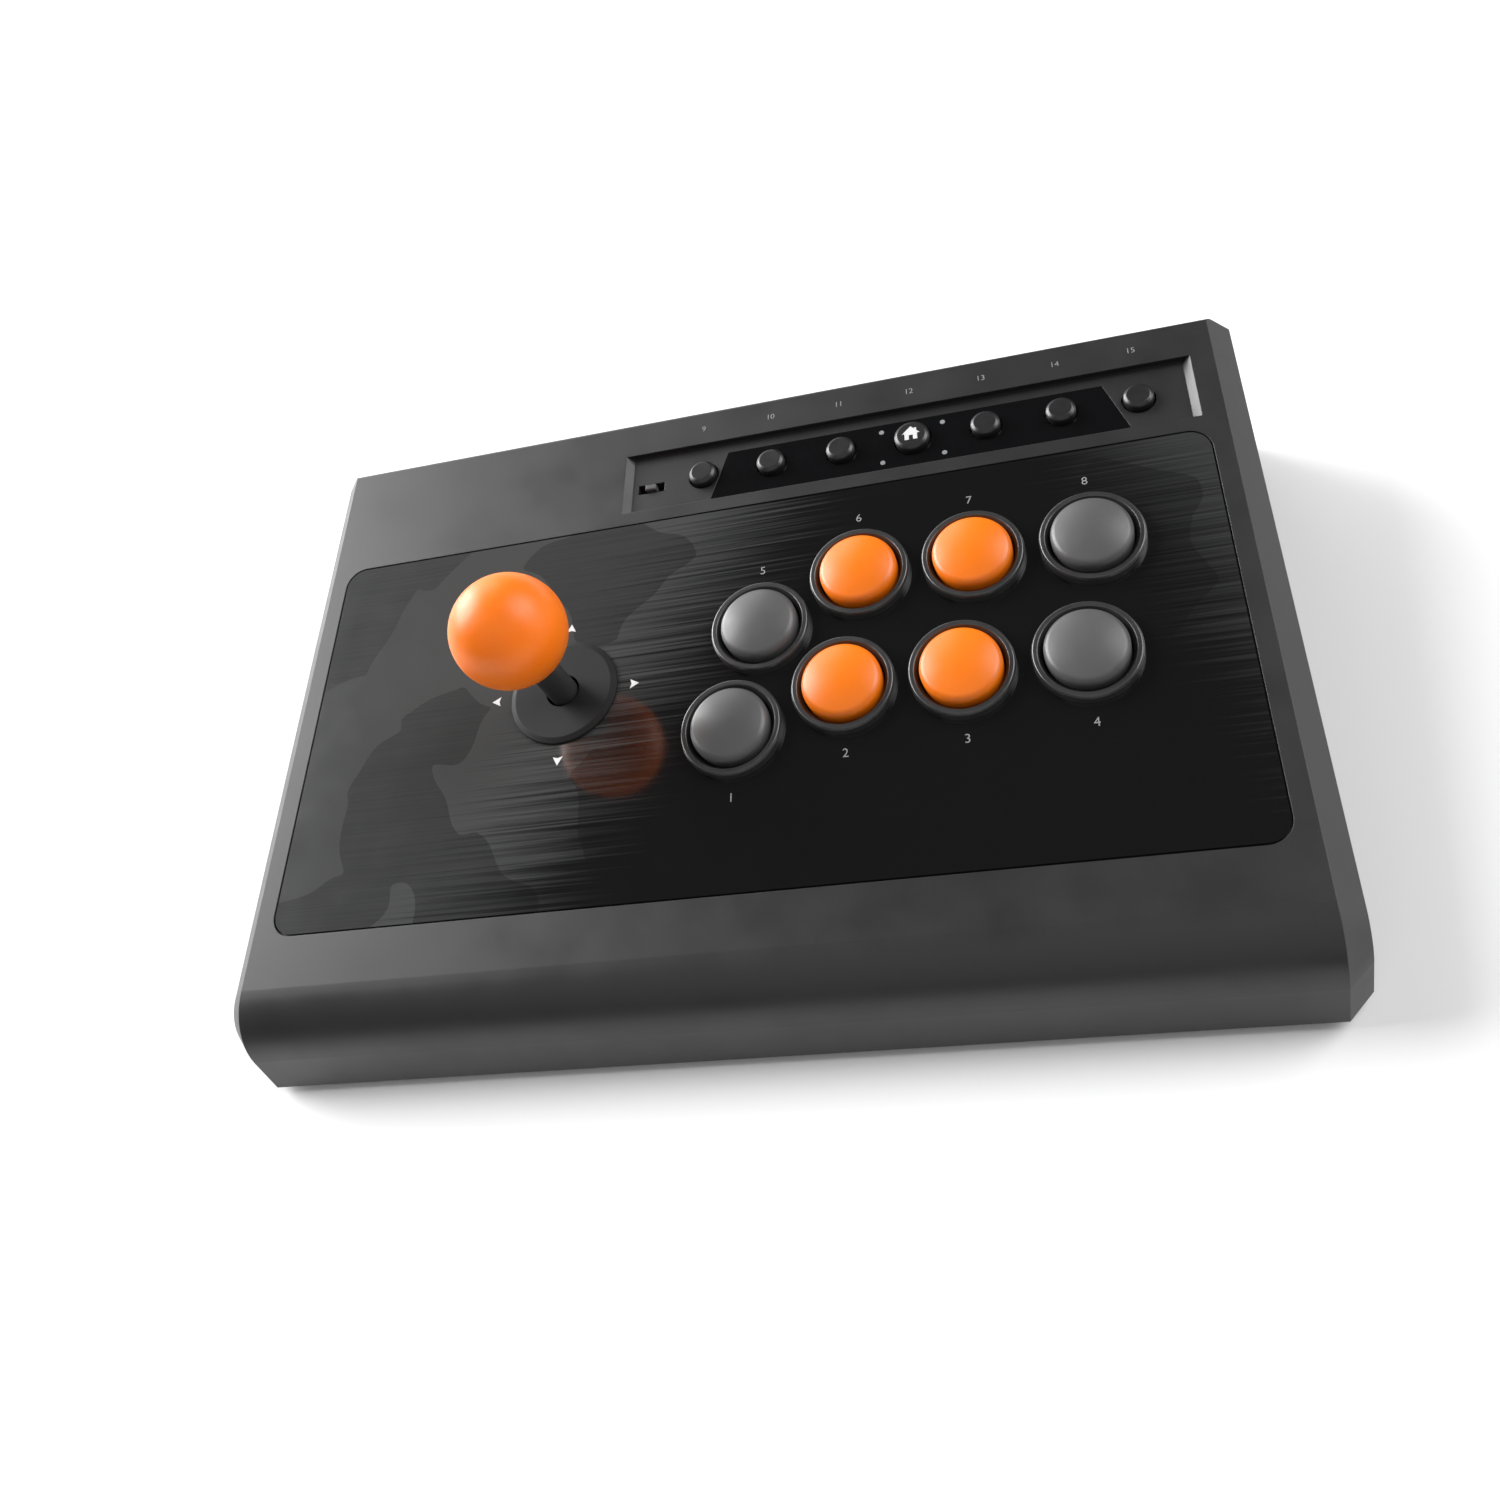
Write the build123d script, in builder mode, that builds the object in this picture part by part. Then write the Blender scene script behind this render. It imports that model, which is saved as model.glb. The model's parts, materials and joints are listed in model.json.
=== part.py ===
from build123d import *
from math import cos, radians, sin
import os

# Arcade joystick panel: a wedge-shaped desktop controller with a ball-top stick,
# eight action buttons and a sunk strip of option buttons.
# Millimetres. X runs along the width, Y towards the back, Z up; the origin is on the
# resting surface, under the middle of the housing.

# ---------------------------------------------------------------- driving dimensions
width = 290.0
depth = 188.5
foot_height = 3.0
deck_tilt = 8.0
deck_height = 31.3          # height of the deck where the faceplate starts

nose_flat = 14.5            # flat deck between the faceplate and the rounded nose
nose_radius = 16.8
nose_turn = 72.0            # angle that the nose turns before the straight front
side_bevel = 6.4
back_round = 1.5
wall = 3.5
side_wall = 3.0
inner_bevel = 4.8

panel_width = 265.8
panel_depth = 118.8
panel_corner = 6.0
panel_thickness = 1.2
panel_gap = 0.5

cover_thickness = 2.5
cover_gap = 0.25

stick_x, stick_v = -52.3, 63.7
pivot_depth = 14.0
ball_radius = 15.6
ball_height = 35.6
shaft_radius = 3.0
sleeve_radius = 4.2
washer_radius = 16.2
washer_hole = 4.95
stick_hole = 9.2            # in the faceplate
stick_well = 16.5           # in the shell under it
stick_screw_reach = (27.0, 15.0)
stick_screw_hole = 2.15
stick_plate_size = (66.0, 42.0)
stick_plate_thickness = 1.5
stick_box = 38.0            # side of the square pieces under the deck
stick_box_corner = 2.5
ring_radius = 8.5
ring_height = 6.0
pin_radius = 1.2

rim_radius = 14.1
rim_height = 2.9
barrel_radius = 11.95
bore_radius = 11.3
plunger_radius = 10.9
plunger_edge = 4.6
plunger_crown = 6.8
plunger_rounding = 2.2
button_hole = 12.05
barrel_floor = -12.5
barrel_web = 1.5
button_spots = [
    (-1.4, 45.1), (29.4, 54.0), (61.1, 54.0), (93.2, 54.4),
    (6.2, 75.3), (34.7, 88.3), (66.4, 88.4), (98.4, 88.5),
]

strip_left, strip_right = -39.6, 132.2
strip_front, strip_back = 123.8, 145.9
strip_depth = 2.0
strip_slope = 2.2
strip_floor = 5.0           # depth of the underside of the strip's floor
inlay_thickness = 0.8
inlay_front, inlay_back = 124.2, 142.0
option_pitch = 21.75
option_v = 134.8
home_x = 51.2
option_count = 7
home_index = 3
option_radius = 4.3
home_radius = 5.2
option_clearance = 0.55
option_crown = 0.6
light_reach_x, light_reach_v = 9.2, 5.7
light_radius = 0.75
light_hole = 0.8
slide_x, slide_v = -31.2, 133.3
slide_length, slide_width = 8.6, 3.4
board_level = -12.0
board_thickness = 1.6
board_spacer = 3.0
board_hole = 1.2

gland_x, gland_z = -70.0, 24.0
gland_radius = 5.0
gland_length = 9.0
cable_bore = 2.4

boss_radius = 4.0
boss_pilot = 1.3
post_radius = 2.6
post_pilot = 1.05
cover_boss_spots = [(-136.0, -70.0), (136.0, -70.0), (-136.0, 84.0), (136.0, 84.0), (0.0, -72.0), (0.0, 85.5)]
foot_spots = [(-112.0, -74.0), (112.0, -74.0), (-112.0, 74.0), (112.0, 74.0)]
foot_radius = 9.0
main_board_centre = (72.0, 44.0)
main_board_size = (92.0, 50.0)
main_board_inset = 8.0
ballast_size = (200.0, 30.0)
ballast_y = -50.0
option_post_spots = [(-42.5, 129.0), (-42.5, 141.0), (127.5, 129.0), (127.5, 141.0)]

os.makedirs("parts", exist_ok=True)

# ---------------------------------------------------------------- reference planes
base = foot_height
cover_top = base + cover_thickness
board_z = cover_top + board_spacer
board_screw_pitch = [side - main_board_inset for side in main_board_size]
slope = radians(deck_tilt)
front_heading = radians(180 + deck_tilt + nose_turn)
nose_end = (
    -nose_flat * cos(slope) + nose_radius * (sin(slope) - sin(slope + radians(nose_turn))),
    -nose_flat * sin(slope) - nose_radius * (cos(slope) - cos(slope + radians(nose_turn))),
)
front_run = (deck_height + nose_end[1] - base) / -sin(front_heading)
deck_y = -depth / 2 - nose_end[0] - front_run * cos(front_heading)
deck = Plane(origin=(0, deck_y, deck_height), x_dir=(1, 0, 0), z_dir=(0, -sin(slope), cos(slope)))
deck_normal = Axis(deck.origin, deck.z_dir)


def level(height):
    """Plane parallel to the deck; its y coordinate is the distance from the faceplate's front."""
    return deck.offset(height)


def spot(x, v, height=0.0):
    """Point in space of a place on the deck."""
    return deck.from_local_coords(Vector(x, v, height))


def upright(x, v):
    """Plane that stands on the deck at a place: x across, y along the deck's normal."""
    return Plane(origin=spot(x, v), x_dir=deck.x_dir, z_dir=-deck.y_dir)


def normal_axis(x, v):
    return Axis(spot(x, v), deck.z_dir)


def save(piece, name):
    piece.part.label = name
    export_step(piece.part, f"parts/{name}.step")


def turned(x, v, outline, rounded=(), radius=0.3):
    """A turned piece that stands on the deck: outline points are (radius, height)."""
    with BuildPart() as piece:
        with BuildSketch(upright(x, v)) as section:
            with BuildLine():
                Polyline(*outline, close=True)
            make_face()
            if rounded:
                corners = [section.vertices().sort_by_distance((*place, 0))[0] for place in rounded]
                fillet(corners, radius)
        revolve(axis=normal_axis(x, v))
    return piece


# ---------------------------------------------------------------- housing
def housing_body(half_width, inset, floor, bevel, rounding):
    """The wedge: its side view, drawn on YZ, pulled both ways across the width."""
    start = spot(0, -nose_flat)
    with BuildPart() as body:
        with BuildSketch(Plane.YZ):
            with BuildLine():
                back_z = deck_height + (depth / 2 - deck_y) * sin(slope) / cos(slope)
                top = Line((depth / 2, back_z), (start.Y, start.Z))
                nose = JernArc(top @ 1, top % 1, nose_radius, nose_turn)
                run = ((nose @ 1).Y - floor) / -(nose % 1).Y
                front = Line(nose @ 1, (nose @ 1) + (nose % 1) * run)
                Polyline(front @ 1, (depth / 2, floor), (depth / 2, back_z))
            make_face()
            if inset:
                offset(amount=-inset, kind=Kind.INTERSECTION)
        extrude(amount=half_width, both=True)
        ends = body.faces().filter_by(Axis.X).edges()
        back_y = max(edge.center().Y for edge in ends)
        low_z = min(edge.center().Z for edge in ends)
        bevelled = [edge for edge in ends if edge.center().Y < back_y - 0.5 and edge.center().Z > low_z + 0.5]
        chamfer(bevelled, bevel)
        if rounding:
            fillet(body.edges().filter_by(Axis.X).sort_by(Axis.Z)[-1], rounding)
    return body


outer = housing_body(width / 2, 0, base, side_bevel, back_round)
cavity_body = housing_body(width / 2 - side_wall, wall, base - 10, inner_bevel, 0)

with BuildPart() as cavity:
    add(cavity_body.part)
    with BuildSketch(Plane.XY.offset(cover_top)):
        with Locations(*cover_boss_spots):
            Circle(boss_radius)
    extrude(amount=80, mode=Mode.SUBTRACT)
    with BuildSketch(level(-strip_floor)):
        with Locations(((strip_left + strip_right) / 2, (strip_front + strip_back) / 2)):
            Rectangle(strip_right - strip_left + 4, strip_back - strip_front + 4)
    extrude(amount=strip_floor, mode=Mode.SUBTRACT)
    with BuildSketch(level(board_level)):
        with Locations(*option_post_spots):
            Circle(post_radius)
    extrude(amount=-board_level, mode=Mode.SUBTRACT)


def inlay_outline(margin):
    """Slant-ended band on the strip's floor, grown by margin."""
    left_back, right_back = -6.3, 106.9
    left_front, right_front = -11.9, 113.5
    with BuildSketch(level(-strip_depth)) as band:
        with BuildLine():
            Polyline(
                (left_front - margin, inlay_front - margin),
                (right_front + margin, inlay_front - margin),
                (right_back + margin, inlay_back + margin),
                (left_back - margin, inlay_back + margin),
                close=True,
            )
        make_face()
    return band


def option_spots():
    return [(home_x + (index - home_index) * option_pitch, option_v) for index in range(option_count)]


def option_cap_radius(index):
    return home_radius if index == home_index else option_radius


light_spots = [
    (home_x + side * light_reach_x, option_v - 1.3 + end * light_reach_v)
    for side in (-1, 1)
    for end in (-1, 1)
]
small_spots = [place for index, place in enumerate(option_spots()) if index != home_index]
stick_screw_spots = [
    (stick_x + side * stick_screw_reach[0], stick_v + end * stick_screw_reach[1])
    for side in (-1, 1)
    for end in (-1, 1)
]

with BuildPart() as top_shell:
    add(outer.part)
    add(cavity.part, mode=Mode.SUBTRACT)
    # pocket that the faceplate lies in
    with BuildSketch(level(0)):
        with Locations((0, panel_depth / 2)):
            RectangleRounded(
                panel_width + 2 * panel_gap, panel_depth + 2 * panel_gap, panel_corner + panel_gap
            )
    extrude(amount=-panel_thickness, mode=Mode.SUBTRACT)
    # sunk strip with sloping ends
    with BuildSketch(upright((strip_left + strip_right) / 2, strip_back)):
        half = (strip_right - strip_left) / 2
        with BuildLine():
            Polyline(
                (-half, 1), (half, 1), (half, 0), (half - strip_slope, -strip_depth),
                (-half + strip_slope, -strip_depth), (-half, 0), close=True,
            )
        make_face()
    extrude(amount=strip_back - strip_front, mode=Mode.SUBTRACT)
    add(inlay_outline(0.1).sketch)
    extrude(amount=-inlay_thickness, mode=Mode.SUBTRACT)
    # openings in the deck
    with BuildSketch(level(0)):
        with Locations(*button_spots):
            Circle(button_hole)
        with Locations((stick_x, stick_v)):
            Circle(stick_well)
        with Locations(*small_spots):
            Circle(option_radius + option_clearance)
        with Locations(option_spots()[home_index]):
            Circle(home_radius + option_clearance)
        with Locations(*light_spots):
            Circle(light_hole)
        with Locations((slide_x, slide_v)):
            Rectangle(slide_length, slide_width)
    extrude(amount=-strip_floor - 1, mode=Mode.SUBTRACT)
    # countersunk holes for the stick's screws
    with Locations(level(-panel_thickness)):
        with Locations(*stick_screw_spots):
            CounterSinkHole(radius=stick_screw_hole, counter_sink_radius=3.9, depth=6)
    # pilot holes in the posts
    with BuildSketch(Plane.XY.offset(cover_top)):
        with Locations(*cover_boss_spots):
            Circle(boss_pilot)
    extrude(amount=11, mode=Mode.SUBTRACT)
    with BuildSketch(level(board_level)):
        with Locations(*option_post_spots):
            Circle(post_pilot)
    extrude(amount=5.5, mode=Mode.SUBTRACT)
    # cable inlet in the back wall
    with BuildSketch(Plane(origin=(gland_x, depth / 2, gland_z), x_dir=(1, 0, 0), z_dir=(0, -1, 0))):
        Circle(gland_radius + 0.05)
    extrude(amount=wall + 1, mode=Mode.SUBTRACT)
save(top_shell, "top_shell")

with BuildPart() as bottom_cover:
    front_edge, back_edge = -depth / 2 + wall + 0.75, depth / 2 - wall - cover_gap
    with BuildSketch(Plane.XY.offset(base)) as plate:
        with Locations((0, (front_edge + back_edge) / 2)):
            Rectangle(width - 2 * (side_wall + cover_gap), back_edge - front_edge)
        chamfer(plate.vertices().group_by(Axis.Y)[0], 5.5)
    extrude(amount=cover_thickness)
    with BuildSketch(Plane.XY.offset(cover_top)):
        with Locations(main_board_centre):
            with GridLocations(*board_screw_pitch, 2, 2):
                Circle(3.0)
    extrude(amount=board_spacer)
    with BuildSketch(Plane.XY.offset(board_z)):
        with Locations(main_board_centre):
            with GridLocations(*board_screw_pitch, 2, 2):
                Circle(post_pilot)
    extrude(amount=-4.0, mode=Mode.SUBTRACT)
    with Locations(Plane.XY.offset(base).rotated((180, 0, 0))):
        with Locations(*[(x, -y) for x, y in cover_boss_spots]):
            CounterBoreHole(
                radius=1.75, counter_bore_radius=3.1, counter_bore_depth=1.6, depth=cover_thickness
            )
save(bottom_cover, "bottom_cover")

with BuildPart() as rubber_feet:
    with BuildSketch():
        with Locations(*foot_spots):
            Circle(foot_radius)
    extrude(amount=foot_height)
    chamfer(rubber_feet.edges().group_by(Axis.Z)[0], 0.8)
save(rubber_feet, "rubber_feet")

with BuildPart() as cover_screws:
    with BuildSketch(Plane.XY.offset(base + 0.1)):
        with Locations(*cover_boss_spots):
            Circle(2.9)
    extrude(amount=1.5)
    with BuildSketch(Plane.XY.offset(base + 1.5)):
        with Locations(*cover_boss_spots):
            Circle(1.25)
    extrude(amount=11)
    with BuildSketch(Plane.XY.offset(base + 0.1)):
        with Locations(*cover_boss_spots):
            Rectangle(3.4, 0.7)
            Rectangle(0.7, 3.4)
    extrude(amount=0.9, mode=Mode.SUBTRACT)
save(cover_screws, "cover_screws")

with BuildPart() as ballast_plate:
    with BuildSketch(Plane.XY.offset(cover_top)):
        with Locations((0, ballast_y)):
            RectangleRounded(*ballast_size, 4)
    extrude(amount=2.5)
save(ballast_plate, "ballast_plate")

with BuildPart() as faceplate:
    with BuildSketch(level(-panel_thickness)):
        with Locations((0, panel_depth / 2)):
            RectangleRounded(panel_width, panel_depth, panel_corner)
        with Locations(*button_spots):
            Circle(button_hole, mode=Mode.SUBTRACT)
        with Locations((stick_x, stick_v)):
            Circle(stick_hole, mode=Mode.SUBTRACT)
    extrude(amount=panel_thickness)
save(faceplate, "faceplate")

with BuildPart() as strip_inlay:
    add(inlay_outline(0).sketch)
    extrude(amount=-inlay_thickness)
    with BuildSketch(level(-strip_depth)):
        with Locations(*small_spots[1:-1]):
            Circle(option_radius + option_clearance)
        with Locations(option_spots()[home_index]):
            Circle(home_radius + option_clearance)
        with Locations(*light_spots):
            Circle(light_hole)
    extrude(amount=-inlay_thickness, mode=Mode.SUBTRACT)
save(strip_inlay, "strip_inlay")

with BuildPart() as light_pipes:
    with BuildSketch(level(-strip_depth + 0.15)):
        with Locations(*light_spots):
            Circle(light_radius)
    extrude(amount=board_level + strip_depth + 0.35)
save(light_pipes, "light_pipes")

with BuildPart() as cable_gland:
    wall_back = Plane(origin=(gland_x, depth / 2, gland_z), x_dir=(1, 0, 0), z_dir=(0, -1, 0))
    with BuildSketch(wall_back):
        Circle(gland_radius)
    extrude(amount=gland_length)
    with BuildSketch(wall_back.offset(wall)):
        Circle(7)
    extrude(amount=2.5)
    with BuildSketch(wall_back):
        Circle(cable_bore)
    extrude(amount=gland_length, mode=Mode.SUBTRACT)
save(cable_gland, "cable_gland")

# ---------------------------------------------------------------- electronics
with BuildPart() as main_board:
    with BuildSketch(Plane.XY.offset(board_z)):
        with Locations(main_board_centre):
            Rectangle(*main_board_size)
            with GridLocations(*board_screw_pitch, 2, 2):
                Circle(board_hole, mode=Mode.SUBTRACT)
    extrude(amount=board_thickness)
save(main_board, "main_board")

with BuildPart() as main_board_screws:
    with BuildSketch(Plane.XY.offset(board_z + board_thickness)):
        with Locations(main_board_centre):
            with GridLocations(*board_screw_pitch, 2, 2):
                Circle(2.2)
    extrude(amount=1.4)
    with BuildSketch(Plane.XY.offset(board_z + board_thickness)):
        with Locations(main_board_centre):
            with GridLocations(*board_screw_pitch, 2, 2):
                Circle(1.0)
    extrude(amount=-board_thickness - 3.5)
save(main_board_screws, "main_board_screws")

board_centre_x, board_centre_y = main_board_centre
with BuildPart() as board_components:
    with BuildSketch(Plane.XY.offset(board_z + board_thickness)):
        with Locations((board_centre_x, board_centre_y)):
            Rectangle(12, 12)
    extrude(amount=1.6)
    with BuildSketch(Plane.XY.offset(board_z + board_thickness)):
        with Locations((board_centre_x, board_centre_y - 19)):
            with GridLocations(15, 0, 5, 1):
                Rectangle(10, 5)
        with Locations(
            (board_centre_x - 30, board_centre_y + 10), (board_centre_x + 30, board_centre_y + 14)
        ):
            Rectangle(7, 5)
    extrude(amount=4.5)
    with BuildSketch(Plane.XY.offset(board_z + board_thickness)):
        with Locations((board_centre_x - 18, board_centre_y + 12)):
            Circle(2.5)
    extrude(amount=4)
save(board_components, "board_components")

with BuildPart() as option_board:
    with BuildSketch(level(board_level)):
        with Locations((42.5, 135.0)):
            Rectangle(178, 17)
        with Locations(*option_post_spots):
            Circle(board_hole, mode=Mode.SUBTRACT)
    extrude(amount=-board_thickness)
save(option_board, "option_board")

with BuildPart() as option_board_screws:
    with BuildSketch(level(board_level - board_thickness)):
        with Locations(*option_post_spots):
            Circle(2.2)
    extrude(amount=-1.4)
    with BuildSketch(level(board_level - board_thickness)):
        with Locations(*option_post_spots):
            Circle(1.0)
    extrude(amount=board_thickness + 5)
save(option_board_screws, "option_board_screws")

with BuildPart() as tact_switches:
    with BuildSketch(level(board_level)):
        with Locations(*option_spots()):
            Rectangle(6, 6)
    extrude(amount=3.4)
    with BuildSketch(level(board_level + 3.4)):
        with Locations(*option_spots()):
            Circle(1.7)
    extrude(amount=0.5)
save(tact_switches, "tact_switches")

with BuildPart() as slide_switch_body:
    with BuildSketch(level(board_level)):
        with Locations((slide_x, slide_v)):
            Rectangle(13, 6)
    extrude(amount=5.0)
    with BuildSketch(level(board_level + 5.0)):
        with Locations((slide_x, slide_v)):
            Rectangle(7.6, 2.6)
    extrude(amount=-2.5, mode=Mode.SUBTRACT)
save(slide_switch_body, "slide_switch_body")

with BuildPart() as slide_switch_knob:
    with BuildSketch(level(board_level + 2.9)):
        with Locations((slide_x, slide_v)):
            Rectangle(3.4, 2.0)
    extrude(amount=-board_level - 2.9 - 0.9)
    chamfer(slide_switch_knob.faces().sort_by(deck_normal)[-1].edges(), 0.3)
save(slide_switch_knob, "slide_switch_knob")

# ---------------------------------------------------------------- stick, fixed pieces
housing_top = -wall - stick_plate_thickness
housing_bottom = -19.0

with BuildPart() as stick_mounting_plate:
    with BuildSketch(level(-wall)):
        with Locations((stick_x, stick_v)):
            RectangleRounded(*stick_plate_size, 3)
            Circle(8, mode=Mode.SUBTRACT)
        with Locations(*stick_screw_spots):
            Circle(stick_screw_hole, mode=Mode.SUBTRACT)
    extrude(amount=-stick_plate_thickness)
save(stick_mounting_plate, "stick_mounting_plate")

with BuildPart() as stick_screws:
    for place in stick_screw_spots:
        with BuildSketch(upright(*place)):
            with BuildLine():
                Polyline((0, -1.25), (3.7, -1.25), (2.0, -2.95), (2.0, -9.5), (0, -9.5), close=True)
            make_face()
        revolve(axis=normal_axis(*place))
save(stick_screws, "stick_screws")

with BuildPart() as stick_nuts:
    with BuildSketch(level(housing_top)):
        with Locations(*stick_screw_spots):
            RegularPolygon(4.0, 6)
            Circle(2.05, mode=Mode.SUBTRACT)
    extrude(amount=-3.2)
save(stick_nuts, "stick_nuts")

with BuildPart() as stick_housing:
    with BuildSketch(level(housing_top)):
        with Locations((stick_x, stick_v)):
            RectangleRounded(stick_box, stick_box, stick_box_corner)
    extrude(amount=housing_bottom - housing_top)
    with BuildSketch(level(housing_bottom)):
        with Locations((stick_x, stick_v)):
            RectangleRounded(33, 33, 1.5)
    extrude(amount=housing_top - 2 - housing_bottom, mode=Mode.SUBTRACT)
    with BuildSketch(level(housing_bottom)):
        with Locations((stick_x - 12, stick_v), (stick_x + 12, stick_v)):
            Rectangle(4.6, 9)
    extrude(amount=housing_top - 1 - housing_bottom)
    with BuildSketch(level(housing_top)):
        with Locations((stick_x, stick_v)):
            Circle(8)
    extrude(amount=-2, mode=Mode.SUBTRACT)
    with BuildSketch(Plane(origin=spot(stick_x, stick_v, -pivot_depth), x_dir=deck.y_dir, z_dir=deck.x_dir)):
        Circle(1.56)
    extrude(amount=13.2, both=True, mode=Mode.SUBTRACT)
save(stick_housing, "stick_housing")

with BuildPart() as stick_board:
    with BuildSketch(level(housing_bottom)):
        with Locations((stick_x, stick_v)):
            RectangleRounded(stick_box, stick_box, stick_box_corner)
            Circle(8.5, mode=Mode.SUBTRACT)
    extrude(amount=-1.2)
save(stick_board, "stick_board")

switch_level = housing_bottom - 1.2
with BuildPart() as stick_microswitches:
    with BuildSketch(level(switch_level)):
        with Locations((stick_x, stick_v)):
            with PolarLocations(12.2, 4):
                Rectangle(6.4, 12.4)
    extrude(amount=-6.0)
    with BuildSketch(level(switch_level - 1.8)):
        with Locations((stick_x, stick_v)):
            with PolarLocations(8.75, 4):
                Rectangle(0.6, 2.4)
    extrude(amount=-2.4)
save(stick_microswitches, "stick_microswitches")

gate_top = -27.6
with BuildPart() as restrictor_gate:
    with BuildSketch(level(gate_top)):
        with Locations((stick_x, stick_v)):
            RectangleRounded(stick_box, stick_box, stick_box_corner)
            Rectangle(12.6, 12.6, mode=Mode.SUBTRACT)
    extrude(amount=-2.6)
    with BuildSketch(level(gate_top)):
        with Locations((stick_x, stick_v)):
            with GridLocations(34, 34, 2, 2):
                Circle(1.7)
    extrude(amount=switch_level - gate_top)
save(restrictor_gate, "restrictor_gate")

# ---------------------------------------------------------------- stick, moving pieces
pivot = spot(stick_x, stick_v, -pivot_depth)
across = Plane(origin=pivot, x_dir=deck.y_dir, z_dir=deck.x_dir)
along = Plane(origin=pivot, x_dir=deck.x_dir, z_dir=deck.y_dir)

with BuildPart() as pivot_ring:
    with BuildSketch(level(-pivot_depth - ring_height / 2)):
        with Locations((stick_x, stick_v)):
            Circle(ring_radius)
    extrude(amount=ring_height)
    with BuildSketch(across):
        Circle(1.5)
    extrude(amount=13.0, both=True)
    with BuildSketch(level(-pivot_depth - ring_height / 2)):
        with Locations((stick_x, stick_v)):
            Circle(ring_radius - 2)
    extrude(amount=ring_height, mode=Mode.SUBTRACT)
    with BuildSketch(along):
        Circle(pin_radius + 0.05)
    extrude(amount=9, both=True, mode=Mode.SUBTRACT)
save(pivot_ring, "pivot_ring")

with BuildPart() as pivot_pin:
    with BuildSketch(along):
        Circle(pin_radius)
    extrude(amount=8.2, both=True)
save(pivot_pin, "pivot_pin")

with BuildPart() as pivot_hub:
    with BuildSketch(level(-pivot_depth - ring_height / 2)):
        with Locations((stick_x, stick_v)):
            Circle(4.6)
            Circle(shaft_radius + 0.03, mode=Mode.SUBTRACT)
    extrude(amount=ring_height)
    with BuildSketch(along):
        Circle(pin_radius + 0.03)
    extrude(amount=6, both=True, mode=Mode.SUBTRACT)
save(pivot_hub, "pivot_hub")

shaft_end = -31.5
shaft_top = ball_height - 3.5
with BuildPart() as lever_shaft:
    with BuildSketch(level(shaft_end)):
        with Locations((stick_x, stick_v)):
            Circle(shaft_radius)
    extrude(amount=shaft_top - shaft_end)
    with BuildSketch(along):
        Circle(pin_radius + 0.03)
    extrude(amount=4, both=True, mode=Mode.SUBTRACT)
    chamfer(lever_shaft.faces().sort_by(deck_normal)[-1].edges(), 0.5)
save(lever_shaft, "lever_shaft")

ball_flat = ball_height - ball_radius + 0.6
with BuildPart() as shaft_sleeve:
    with BuildSketch(level(-8)):
        with Locations((stick_x, stick_v)):
            Circle(sleeve_radius)
            Circle(shaft_radius + 0.05, mode=Mode.SUBTRACT)
    extrude(amount=8 + ball_flat - 0.05)
save(shaft_sleeve, "shaft_sleeve")

with BuildPart() as ball_top:
    with Locations(spot(stick_x, stick_v, ball_height)):
        Sphere(ball_radius)
    with BuildSketch(level(ball_flat)):
        with Locations((stick_x, stick_v)):
            Circle(ball_radius)
    extrude(amount=-3, mode=Mode.SUBTRACT)
    with BuildSketch(level(ball_flat)):
        with Locations((stick_x, stick_v)):
            Circle(shaft_radius + 0.04)
    extrude(amount=shaft_top - ball_flat + 0.5, mode=Mode.SUBTRACT)
save(ball_top, "ball_top")

actuator_top = -21.6
with BuildPart() as actuator:
    with BuildSketch(level(actuator_top)):
        with Locations((stick_x, stick_v)):
            Circle(5.5)
            Circle(shaft_radius + 0.03, mode=Mode.SUBTRACT)
    extrude(amount=-4)
    chamfer(actuator.faces().sort_by(deck_normal)[0].edges().sort_by(SortBy.LENGTH)[-1], 0.4)
save(actuator, "actuator")

with BuildPart() as return_spring:
    spring_foot = -pivot_depth - ring_height / 2 - 0.5
    with BuildLine() as coil:
        Helix(
            pitch=1.25, height=spring_foot - actuator_top - 0.5, radius=4.1,
            center=spot(stick_x, stick_v, actuator_top + 0.5), direction=deck.z_dir,
        )
    with BuildSketch(Plane(origin=coil.line @ 0, z_dir=coil.line % 0)):
        Circle(0.4)
    sweep(path=coil.line, is_frenet=True)
save(return_spring, "return_spring")

with BuildPart() as retaining_clip:
    with BuildSketch(level(actuator_top - 4.05)):
        with Locations((stick_x, stick_v)):
            Circle(4.6)
            Circle(shaft_radius + 0.02, mode=Mode.SUBTRACT)
        with Locations((stick_x + 4, stick_v)):
            Rectangle(4, 2.4, mode=Mode.SUBTRACT)
    extrude(amount=-0.7)
save(retaining_clip, "retaining_clip")

dust_washer = turned(
    stick_x, stick_v,
    [
        (washer_hole, 0.1), (washer_radius, 0.1), (washer_radius, 0.7),
        (washer_radius - 1.6, 1.4), (washer_hole, 1.4),
    ],
    rounded=[(washer_radius, 0.7), (washer_radius - 1.6, 1.4)], radius=0.4,
)
save(dust_washer, "dust_washer")

with BuildPart() as lower_dust_washer:
    with BuildSketch(level(-2.8)):
        with Locations((stick_x, stick_v)):
            Circle(13)
            SlotOverall(14.6, 10.8, rotation=90, mode=Mode.SUBTRACT)
    extrude(amount=1.3)
save(lower_dust_washer, "lower_dust_washer")

# ---------------------------------------------------------------- action buttons

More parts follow.
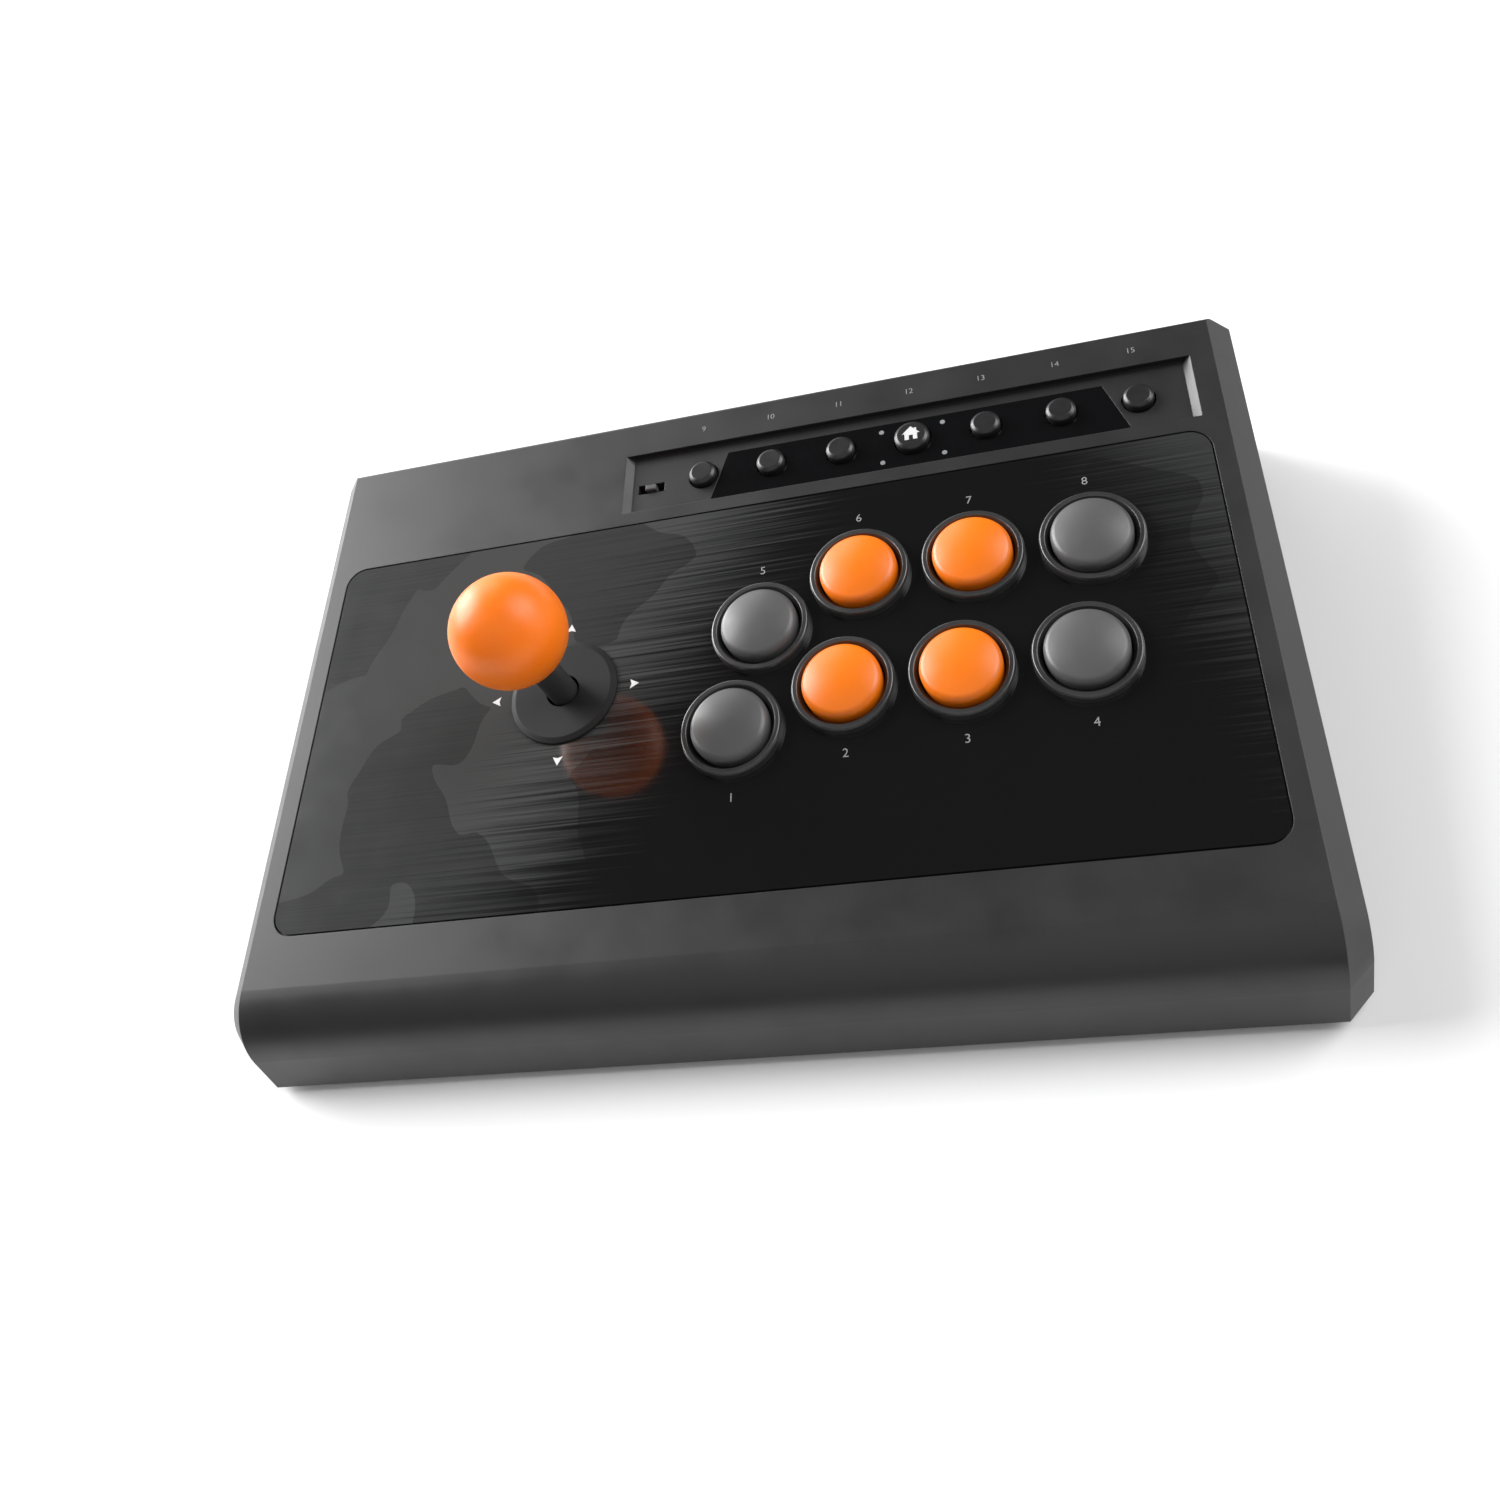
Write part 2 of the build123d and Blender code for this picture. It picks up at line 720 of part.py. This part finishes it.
def button_rim(x, v):
    """Snap-in housing: a rounded rim, a thin barrel, two snap tabs and lugs for the switch."""
    body = turned(
        x, v,
        [
            (bore_radius, barrel_floor), (bore_radius, 0.9), (bore_radius + 1.1, rim_height),
            (rim_radius - 0.4, rim_height), (rim_radius, rim_height - 0.8), (rim_radius, 0),
            (barrel_radius, 0), (barrel_radius, barrel_floor - barrel_web), (3.2, barrel_floor - barrel_web),
            (3.2, barrel_floor),
        ],
        rounded=[
            (bore_radius + 1.1, rim_height), (rim_radius - 0.4, rim_height), (rim_radius, rim_height - 0.8),
        ],
        radius=0.45,
    )
    with BuildPart() as rim:
        add(body.part)
        for side in (-1, 1):
            with BuildSketch(upright(x, v)):
                with BuildLine():
                    Polyline(
                        (side * (barrel_radius - 0.4), -wall - 0.1),
                        (side * (barrel_radius + 0.9), -wall - 0.1),
                        (side * (barrel_radius - 0.4), -wall - 4), close=True,
                    )
                make_face()
            extrude(amount=2, both=True)
        with BuildSketch(level(barrel_floor - barrel_web)):
            with Locations((x - 7.4, v), (x + 7.4, v)):
                Rectangle(1.6, 6)
        extrude(amount=-6)
    return rim


def button_plunger(x, v):
    """Crowned cap with a skirt and a middle stem that works the switch."""
    with BuildPart() as plunger:
        with BuildSketch(upright(x, v)) as section:
            with BuildLine():
                crown = ThreePointArc(
                    (0, plunger_crown),
                    (plunger_radius * 0.5, plunger_crown - (plunger_crown - plunger_edge) * 0.26),
                    (plunger_radius, plunger_edge),
                )
                Polyline(
                    crown @ 1, (plunger_radius, -8), (plunger_radius - 1.2, -8), (plunger_radius - 1.2, 2.6),
                    (2.5, 2.6), (2.5, -13), (0, -13), crown @ 0,
                )
            make_face()
            crown_edge = section.vertices().sort_by_distance((plunger_radius, plunger_edge, 0))[0]
            fillet(crown_edge, plunger_rounding)
        revolve(axis=normal_axis(x, v))
    return plunger


for number, place in enumerate(button_spots, start=1):
    save(button_rim(*place), f"button_rim_{number}")
    save(button_plunger(*place), f"button_plunger_{number}")

switch_top = -15.5
with BuildPart() as button_switches:
    with BuildSketch(level(switch_top)):
        with Locations(*button_spots):
            Rectangle(12.8, 5.8)
    extrude(amount=-6)
    with BuildSketch(level(switch_top - 6)):
        with Locations(*button_spots):
            with GridLocations(8, 0, 2, 1):
                Rectangle(0.6, 3)
    extrude(amount=-2)
save(button_switches, "button_switches")

# ---------------------------------------------------------------- option buttons
flange_top = -strip_floor - 0.1
for index, (x, v) in enumerate(option_spots()):
    radius = option_cap_radius(index)
    option_button = turned(
        x, v,
        [
            (0, option_crown), (radius - 1.0, option_crown), (radius, option_crown - 0.8),
            (radius, flange_top), (radius + 1.0, flange_top), (radius + 1.0, flange_top - 0.9),
            (1.6, flange_top - 0.9), (1.6, flange_top - 2.0), (0, flange_top - 2.0),
        ],
        rounded=[(radius - 1.0, option_crown), (radius, option_crown - 0.8)], radius=0.8,
    )
    save(option_button, f"option_button_{index + 1}")
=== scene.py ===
import json
from math import cos, pi, radians

import bmesh
import bpy
from mathutils import Euler, Matrix, Vector


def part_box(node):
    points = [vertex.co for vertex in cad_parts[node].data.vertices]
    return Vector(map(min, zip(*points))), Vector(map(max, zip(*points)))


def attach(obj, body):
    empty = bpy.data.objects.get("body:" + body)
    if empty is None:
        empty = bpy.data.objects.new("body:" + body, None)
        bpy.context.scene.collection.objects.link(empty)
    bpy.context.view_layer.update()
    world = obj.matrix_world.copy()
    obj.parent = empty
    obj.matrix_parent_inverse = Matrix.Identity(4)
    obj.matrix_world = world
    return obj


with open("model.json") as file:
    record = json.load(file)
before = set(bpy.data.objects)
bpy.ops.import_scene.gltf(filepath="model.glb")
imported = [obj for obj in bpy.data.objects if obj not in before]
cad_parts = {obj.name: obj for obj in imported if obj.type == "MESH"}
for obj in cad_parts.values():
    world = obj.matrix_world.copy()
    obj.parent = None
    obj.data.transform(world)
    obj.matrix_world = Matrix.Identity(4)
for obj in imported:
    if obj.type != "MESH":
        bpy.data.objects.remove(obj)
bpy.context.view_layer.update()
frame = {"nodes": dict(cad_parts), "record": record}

MM = 0.001

# ---------------------------------------------------------------- sizes that follow part.py
# In millimetres. A place on the deck is (x, v): x to the right of the middle, and v up the slope from
# the faceplate's front edge.
deck_tilt = radians(8)
panel_thickness = 1.2
stick_x, stick_v = -52.3, 63.7
button_spots = [
    (-1.4, 45.1), (29.4, 54.0), (61.1, 54.0), (93.2, 54.4),
    (6.2, 75.3), (34.7, 88.3), (66.4, 88.4), (98.4, 88.5),
]
option_count, option_pitch, option_v, option_top = 7, 21.75, 134.8, 0.6
home_x, home_number = 51.2, 4

panel_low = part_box("faceplate")[0]
deck_origin = Vector((0, panel_low.y, panel_low.z + panel_thickness * MM * cos(deck_tilt)))
deck = Matrix.Translation(deck_origin) @ Matrix.Rotation(deck_tilt, 4, "X")


# ---------------------------------------------------------------- materials
edge_rounding = 0.3 * MM


class Finish:
    """A Principled material under construction, with short calls that add its texture nodes."""

    def __init__(self, name, colour, roughness, **settings):
        self.material = bpy.data.materials.new(name)
        self.material.use_nodes = True
        self.nodes = self.material.node_tree.nodes
        self.links = self.material.node_tree.links
        self.surface = self.nodes["Principled BSDF"]
        self.set("Base Color", (*colour, 1))
        self.set("Roughness", roughness)
        for key, value in settings.items():
            self.set(key.replace("_", " "), value)
        self.place = self.nodes.new("ShaderNodeTexCoord").outputs["Object"]

    def set(self, socket, value):
        self.surface.inputs[socket].default_value = value

    def join(self, source, target):
        self.links.new(source, target)

    def stretched(self, scale, turn=(0, 0, 0)):
        """Object coordinates, turned and stretched."""
        mapping = self.nodes.new("ShaderNodeMapping")
        mapping.vector_type = "POINT"
        mapping.inputs["Rotation"].default_value = turn
        turned = mapping.outputs["Vector"]
        self.join(self.place, mapping.inputs["Vector"])
        stretch = self.nodes.new("ShaderNodeMapping")
        stretch.inputs["Scale"].default_value = scale
        self.join(turned, stretch.inputs["Vector"])
        return stretch.outputs["Vector"]

    def noise(self, scale, detail=4.0, rough=0.55, vector=None, distortion=0.0):
        texture = self.nodes.new("ShaderNodeTexNoise")
        texture.inputs["Scale"].default_value = scale
        texture.inputs["Detail"].default_value = detail
        texture.inputs["Roughness"].default_value = rough
        texture.inputs["Distortion"].default_value = distortion
        self.join(vector or self.place, texture.inputs["Vector"])
        return texture.outputs["Fac"]

    def wavy(self, vector, scale, reach):
        """The coordinates, pushed about by a slow noise."""
        push = self.nodes.new("ShaderNodeTexNoise")
        push.inputs["Scale"].default_value = scale
        push.inputs["Detail"].default_value = 1
        self.join(vector, push.inputs["Vector"])
        amount = self.nodes.new("ShaderNodeVectorMath")
        amount.operation = "MULTIPLY"
        amount.inputs[1].default_value = (reach, reach, 0)
        self.join(push.outputs["Color"], amount.inputs[0])
        shifted = self.nodes.new("ShaderNodeVectorMath")
        self.join(vector, shifted.inputs[0])
        self.join(amount.outputs["Vector"], shifted.inputs[1])
        return shifted.outputs["Vector"]

    def remap(self, source, low, high, to_low=0.0, to_high=1.0, smooth=False):
        node = self.nodes.new("ShaderNodeMapRange")
        node.interpolation_type = "SMOOTHSTEP" if smooth else "LINEAR"
        for key, value in zip(("From Min", "From Max", "To Min", "To Max"), (low, high, to_low, to_high)):
            node.inputs[key].default_value = value
        self.join(source, node.inputs["Value"])
        return node.outputs["Result"]

    def maths(self, operation, first, second):
        node = self.nodes.new("ShaderNodeMath")
        node.operation = operation
        for socket, value in zip(node.inputs, (first, second)):
            if isinstance(value, (int, float)):
                socket.default_value = value
            else:
                self.join(value, socket)
        return node.outputs["Value"]

    def blend(self, factor, first, second):
        """Colour between first and second by factor; each is a colour or a socket."""
        node = self.nodes.new("ShaderNodeMix")
        node.data_type = "RGBA"
        self.join(factor, node.inputs["Factor"])
        for key, value in (("A", first), ("B", second)):
            socket = next(s for s in node.inputs if s.name == key and s.type == "RGBA")
            if isinstance(value, (tuple, list)):
                socket.default_value = (*value, 1)
            else:
                self.join(value, socket)
        return next(s for s in node.outputs if s.type == "RGBA")

    def colour(self, source):
        self.join(source, self.surface.inputs["Base Color"])

    def mottle(self, colour, spread, scale):
        """Slow drift of the colour, darker and lighter by spread."""
        drift = self.remap(self.noise(scale, 3), 0.3, 0.7)
        self.colour(self.blend(drift, tint(colour, 1 - spread), tint(colour, 1 + spread)))

    def roughness(self, source):
        self.join(source, self.surface.inputs["Roughness"])

    def bump(self, height, strength, distance, rounding=0):
        node = self.nodes.new("ShaderNodeBump")
        if rounding:
            edge = self.nodes.new("ShaderNodeBevel")
            edge.samples = 4
            edge.inputs["Radius"].default_value = rounding
            self.join(edge.outputs["Normal"], node.inputs["Normal"])
        node.inputs["Strength"].default_value = strength
        node.inputs["Distance"].default_value = distance
        self.join(height, node.inputs["Height"])
        self.join(node.outputs["Normal"], self.surface.inputs["Normal"])


def tint(colour, factor):
    return tuple(channel * factor for channel in colour)


def moulded(name, colour, roughness=0.45, grain=900, bump=0.12, spread=0.12, **settings):
    """Moulded plastic or rubber: fine spark-eroded grain, slow colour drift, uneven gloss."""
    finish = Finish(name, colour, roughness, **settings)
    finish.mottle(colour, spread, 14)
    finish.roughness(finish.remap(finish.noise(60, 4), 0.3, 0.7, roughness - 0.04, roughness + 0.05))
    finish.bump(finish.noise(grain, 2, 0.6), bump, 0.05 * MM, edge_rounding)
    return finish.material


def glossy(name, colour, roughness=0.12, spread=0.06, **settings):
    """Polished plastic: a faint orange peel and light handling marks in the gloss."""
    finish = Finish(name, colour, roughness, **settings)
    finish.mottle(colour, spread, 30)
    marks = finish.noise(260, 5, 0.7)
    finish.roughness(finish.remap(marks, 0.35, 0.75, roughness, roughness + 0.08))
    finish.bump(finish.noise(120, 2), 0.05, 0.05 * MM)
    return finish.material


def metal(name, colour, roughness=0.3, stretch=(1, 40, 40)):
    """Drawn or plated metal with fine lines."""
    finish = Finish(name, colour, roughness, Metallic=1.0)
    lines = finish.noise(60, 4, 0.6, finish.stretched(stretch))
    finish.colour(finish.blend(finish.remap(lines, 0.3, 0.7), tint(colour, 0.85), tint(colour, 1.1)))
    finish.roughness(finish.remap(lines, 0.3, 0.7, roughness - 0.06, roughness + 0.1))
    finish.bump(lines, 0.1, 0.03 * MM)
    return finish.material


def circuit(name):
    """Solder mask over a fibre weave."""
    base = (0.012, 0.09, 0.035)
    finish = Finish(name, base, 0.35)
    weave = finish.noise(700, 2, 0.5, finish.stretched((1, 3, 1)))
    finish.colour(finish.blend(finish.remap(weave, 0.35, 0.65), tint(base, 0.8), tint(base, 1.3)))
    finish.bump(weave, 0.15, 0.05 * MM)
    return finish.material


def printed_brushing(finish, flat, turn):
    """Strength of the brushed print: fine lines, full at the left, fading to nothing before the buttons; a
    painted sheen lifts it by up to half again towards the upper left end.
    """
    lines = finish.stretched((15, 1400, 0), turn)
    streaks = finish.noise(1, 4, 0.6, lines)
    hair = finish.noise(2.3, 3, 0.6, lines)
    # each line reaches in from its end by a length of its own
    fringe = finish.noise(1, 4, 0.62, finish.stretched((10, 1100, 0), turn))
    reach = finish.remap(fringe, 0.32, 0.68, -1, 1)
    across = finish.nodes.new("ShaderNodeSeparateXYZ")
    finish.join(flat, across.inputs["Vector"])
    x, y = across.outputs["X"], across.outputs["Y"]
    left_slant = finish.maths("SUBTRACT", x, finish.maths("MULTIPLY", y, 0.6))
    left_line = finish.maths("ADD", left_slant, finish.maths("MULTIPLY", reach, 22 * MM))
    left = finish.remap(left_line, -66 * MM, -4 * MM, 1, 0, True)
    right_slant = finish.maths("ADD", x, finish.maths("MULTIPLY", y, 0.45))
    right_line = finish.maths("ADD", right_slant, finish.maths("MULTIPLY", reach, 16 * MM))
    right = finish.remap(right_line, 112 * MM, 165 * MM, 0, 0.58, True)
    level = finish.maths("MAXIMUM", left, right)
    for texture in (
        finish.remap(streaks, 0.32, 0.6, 0.84, 1.0),
        finish.remap(hair, 0.3, 0.7, 0.92, 1.06),
        # painted sheen: the print up to half again brighter towards the upper left end, standing in for the
        # left light's reflection
        finish.remap(left_slant, -190 * MM, -40 * MM, 1.5, 1.0),
    ):
        level = finish.maths("MULTIPLY", level, texture)
    return level, streaks


def soft_blotches(finish, flat):
    """A factor of 1, or less within large rounded blotches."""
    cells = finish.nodes.new("ShaderNodeTexVoronoi")
    cells.voronoi_dimensions = "2D"
    cells.feature = "SMOOTH_F1"
    cells.inputs["Scale"].default_value = 30
    cells.inputs["Smoothness"].default_value = 0.22
    finish.join(finish.wavy(flat, 32, 30 * MM), cells.inputs["Vector"])
    channels = finish.nodes.new("ShaderNodeSeparateColor")
    finish.join(cells.outputs["Color"], channels.inputs["Color"])
    return finish.remap(channels.outputs["Green"], 0.52, 0.535, 1.0, 0.6, True)


def faceplate_finish():
    """Gloss black sheet with a printed brushing from both ends and a painted sheen towards the upper left,
    darker in soft blotches.
    """
    black = (0.004, 0.004, 0.0043)
    grey = (0.058, 0.059, 0.059)
    onto_deck = (-deck_tilt, 0, 0)
    finish = Finish("faceplate_gloss", black, 0.1, Specular_IOR_Level=0.9)
    flat = finish.stretched((1, 1, 0), onto_deck)
    brushing_and_sheen, streaks = printed_brushing(finish, flat, onto_deck)
    level = finish.maths("MULTIPLY", brushing_and_sheen, soft_blotches(finish, flat))
    finish.colour(finish.blend(level, black, grey))
    finish.roughness(finish.remap(finish.noise(90, 5, 0.6), 0.3, 0.7, 0.08, 0.12))
    finish.bump(streaks, 0.02, 0.03 * MM)
    return finish.material


def floor_finish():
    finish = Finish("studio_floor", (0.86, 0.86, 0.86), 0.7)
    finish.colour(finish.blend(finish.noise(2, 2), (0.85, 0.85, 0.85), (0.87, 0.87, 0.87)))
    return finish.material


orange = (0.80, 0.165, 0.002)
finishes = {
    "housing_plastic": moulded("housing_satin", (0.0145, 0.0145, 0.0148), 0.40, 1400, 0.1, 0.05),
    "cover_plastic": moulded("cover_matt", (0.02, 0.02, 0.021), 0.55),
    "faceplate_black": faceplate_finish(),
    "inlay_black": glossy("inlay_gloss", (0.003, 0.003, 0.0035), 0.1),
    "light_pipe_clear": glossy("light_pipe", (0.24, 0.25, 0.26), 0.25),
    "foot_rubber": moulded("foot_rubber", (0.018, 0.018, 0.018), 0.75, 1200, 0.3),
    "gland_rubber": moulded("gland_rubber", (0.02, 0.02, 0.02), 0.65, 1200, 0.3),
    "screw_steel": metal("screw_steel", (0.55, 0.55, 0.56), 0.32, (20, 20, 20)),
    "plate_steel": metal("plate_steel", (0.5, 0.51, 0.52), 0.4),
    "board_green": circuit("board_green"),
    "component_black": moulded("component_black", (0.02, 0.02, 0.02), 0.5),
    "switch_red": moulded("switch_red", (0.3, 0.02, 0.015), 0.45),
    "mechanism_black": moulded("mechanism_black", (0.025, 0.025, 0.026), 0.45),
    "gate_white": moulded("gate_white", (0.62, 0.62, 0.6), 0.4),
    "shaft_steel": metal("shaft_steel", (0.62, 0.62, 0.64), 0.15, (20, 20, 2)),
    "sleeve_black": moulded("sleeve_satin", (0.03, 0.03, 0.031), 0.42, 1600, 0.08, 0.05),
    "washer_black": moulded(
        "washer_satin", (0.009, 0.009, 0.009), 0.58, 1600, 0.08, 0.05, Specular_IOR_Level=0.2
    ),
    "ball_orange": glossy(
        "ball_orange", tint(orange, 1.1), 0.38, 0.04,
        Subsurface_Weight=0.4, Subsurface_Scale=5 * MM, Specular_IOR_Level=0.4,
    ),
    "rim_black": glossy("rim_gloss", (0.020, 0.020, 0.0205), 0.3, Specular_IOR_Level=0.9),
    "button_orange": glossy("button_orange", orange, 0.33, 0.04),
    "button_grey": glossy("button_grey", (0.078, 0.078, 0.079), 0.36, 0.05),
    "option_grey": glossy("option_grey", (0.013, 0.013, 0.014), 0.3),
    "knob_grey": moulded("knob_grey", (0.07, 0.07, 0.07), 0.4),
}
print_white = moulded("print_white", (0.62, 0.62, 0.62), 0.5, 900, 0.05, 0.03)
print_grey = moulded("print_grey", (0.24, 0.24, 0.245), 0.5, 900, 0.05, 0.03)

slot_of = {row["node"]: row["material_slot"] for row in frame["record"]["subparts"]}
for name, node in frame["nodes"].items():
    node.data.materials.clear()
    node.data.materials.append(finishes[slot_of[name]])


# ---------------------------------------------------------------- mesh helpers
def piece_from(name, mesh_maker, material, body):
    """Makes a piece from a bmesh that mesh_maker fills in deck coordinates, and lets it ride on body."""
    mesh = bpy.data.meshes.new(name)
    shape = bmesh.new()
    mesh_maker(shape)
    bmesh.ops.recalc_face_normals(shape, faces=shape.faces)
    shape.to_mesh(mesh)
    shape.free()
    thing = bpy.data.objects.new(name, mesh)
    bpy.context.scene.collection.objects.link(thing)
    thing.matrix_world = deck
    mesh.materials.append(material)
    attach(thing, body)


def prism(shape, outline, low, high):
    """Adds a closed prism over an outline of (x, v) points between two heights, all in millimetres."""
    top = [shape.verts.new((x * MM, v * MM, high * MM)) for x, v in outline]
    bottom = [shape.verts.new((x * MM, v * MM, low * MM)) for x, v in outline]
    shape.faces.new(top)
    shape.faces.new(bottom[::-1])
    for index in range(len(outline)):
        after = (index + 1) % len(outline)
        shape.faces.new((top[index], bottom[index], bottom[after], top[after]))


# ---------------------------------------------------------------- printed marks
print_lift = 0.04
arrow_reach = 21.15
arrow_outline = ((1.5, 0), (-1.2, 1.5), (-0.75, 0), (-1.2, -1.5))
label_reach = 19.5
button_number_height = 2.6
option_number_height = 2.0
option_number_v = 151.6
first_option_number = 9
text_size_per_height = 1.38
house_outline = (
    (-1.9, -2.1), (-0.6, -2.1), (-0.6, -0.5), (0.6, -0.5), (0.6, -2.1), (1.9, -2.1), (1.9, 0.1),
    (2.7, 0.1), (1.7, 1.1), (1.7, 2.1), (1.0, 2.1), (1.0, 1.8), (0.0, 2.8), (-2.7, 0.1), (-1.9, 0.1),
)


def direction_arrows(shape):
    """Four small notched triangles that point away from the stick."""
    for quarter in range(4):
        turn = Matrix.Rotation(quarter * pi / 2, 2)
        outline = []
        for x, v in arrow_outline:
            spot = turn @ Vector((arrow_reach + x, v))
            outline.append((stick_x + spot.x, stick_v + spot.y))
        prism(shape, outline, 0, print_lift)


piece_from("direction_arrows", direction_arrows, print_white, "base")


def printed_number(name, number, x, v, height):
    """A flat number, made into a mesh, printed on the fixed body and centred on a place of the deck."""
    curve = bpy.data.curves.new(name, "FONT")
    curve.body = str(number)
    curve.size = height * text_size_per_height * MM
    curve.extrude = print_lift / 2 * MM
    curve.align_x = "CENTER"
    curve.align_y = "CENTER"
    source = bpy.data.objects.new(name + "_source", curve)
    bpy.context.scene.collection.objects.link(source)
    bpy.context.view_layer.update()
    mesh = bpy.data.meshes.new_from_object(source.evaluated_get(bpy.context.evaluated_depsgraph_get()))
    bpy.data.objects.remove(source)
    mesh.name = name
    mesh.materials.clear()
    mesh.materials.append(print_grey)
    mark = bpy.data.objects.new(name, mesh)
    bpy.context.scene.collection.objects.link(mark)
    mark.matrix_world = deck @ Matrix.Translation((x * MM, v * MM, print_lift / 2 * MM))
    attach(mark, "base")


for number, (x, v) in enumerate(button_spots, start=1):
    in_front_row = number <= len(button_spots) // 2
    number_v = v - label_reach if in_front_row else v + label_reach
    printed_number(f"button_number_{number}", number, x, number_v, button_number_height)
for index in range(option_count):
    number = first_option_number + index
    x = home_x + (index + 1 - home_number) * option_pitch
    printed_number(f"option_number_{number}", number, x, option_number_v, option_number_height)


def home_mark(shape):
    """Plain house pictogram: walls, roof, chimney and a doorway."""
    outline = [(home_x + x, option_v + v) for x, v in house_outline]
    prism(shape, outline, option_top, option_top + print_lift)


piece_from("home_mark", home_mark, print_white, f"option_{home_number}")


# ---------------------------------------------------------------- studio
floor_reach = 40
fill_strength = 0.06


def studio_floor():
    """A square floor, wide enough to fill the view from any side."""
    mesh = bpy.data.meshes.new("studio_floor")
    corners = [(x * floor_reach, y * floor_reach, 0) for x, y in ((-1, -1), (1, -1), (1, 1), (-1, 1))]
    mesh.from_pydata(corners, [], [(0, 1, 2, 3)])
    mesh.materials.append(floor_finish())
    thing = bpy.data.objects.new("studio_floor", mesh)
    bpy.context.scene.collection.objects.link(thing)


studio_floor()


def sky_light(name, direction, strength, spread):
    """A distant round light of a wide angle, like a large soft window."""
    lamp = bpy.data.lights.new(name, "SUN")
    lamp.energy = strength
    lamp.angle = radians(spread)
    thing = bpy.data.objects.new(name, lamp)
    bpy.context.scene.collection.objects.link(thing)
    thing.rotation_euler = Vector(direction).to_track_quat("Z", "Y").to_euler()


sky_light("left_window", (-0.82, 0.33, 0.48), 4.6, 38)
sky_light("right_window", (0.675, 0.30, 0.67), 2.3, 42)
sky_light("front_window", (0.05, -0.62, 0.78), 0.6, 70)
sky_light("right_edge", (0.93, 0.05, 0.36), 0.6, 40)
sky_light("back_window", (-0.45, 0.78, 0.44), 0.8, 36)
sky_light("back_edge", (-0.75, 0.62, 0.16), 1.6, 24)


def studio_world():
    """A faint fill light, which shows as white where the view goes past the floor."""
    world = bpy.data.worlds.new("studio")
    bpy.context.scene.world = world
    world.use_nodes = True
    nodes, links = world.node_tree.nodes, world.node_tree.links
    backdrop = nodes["Background"]
    backdrop.inputs["Color"].default_value = (1, 1, 1, 1)
    seen = nodes.new("ShaderNodeLightPath").outputs["Is Camera Ray"]
    fill = nodes.new("ShaderNodeMapRange")
    fill.inputs["To Min"].default_value = fill_strength
    links.new(seen, fill.inputs["Value"])
    links.new(fill.outputs["Result"], backdrop.inputs["Strength"])


studio_world()

camera_data = bpy.data.cameras.new("camera")
camera_data.lens = 31.57
camera_data.shift_x = -0.02
camera_data.shift_y = -0.1067
camera_data.clip_start = 0.01
camera = bpy.data.objects.new("camera", camera_data)
bpy.context.scene.collection.objects.link(camera)
camera.location = (0.1013, -0.2164, 0.3131)
camera.rotation_euler = Euler((radians(40.97), radians(16.14), radians(2.83)))
bpy.context.scene.camera = camera
bpy.context.scene.view_settings.view_transform = "Standard"
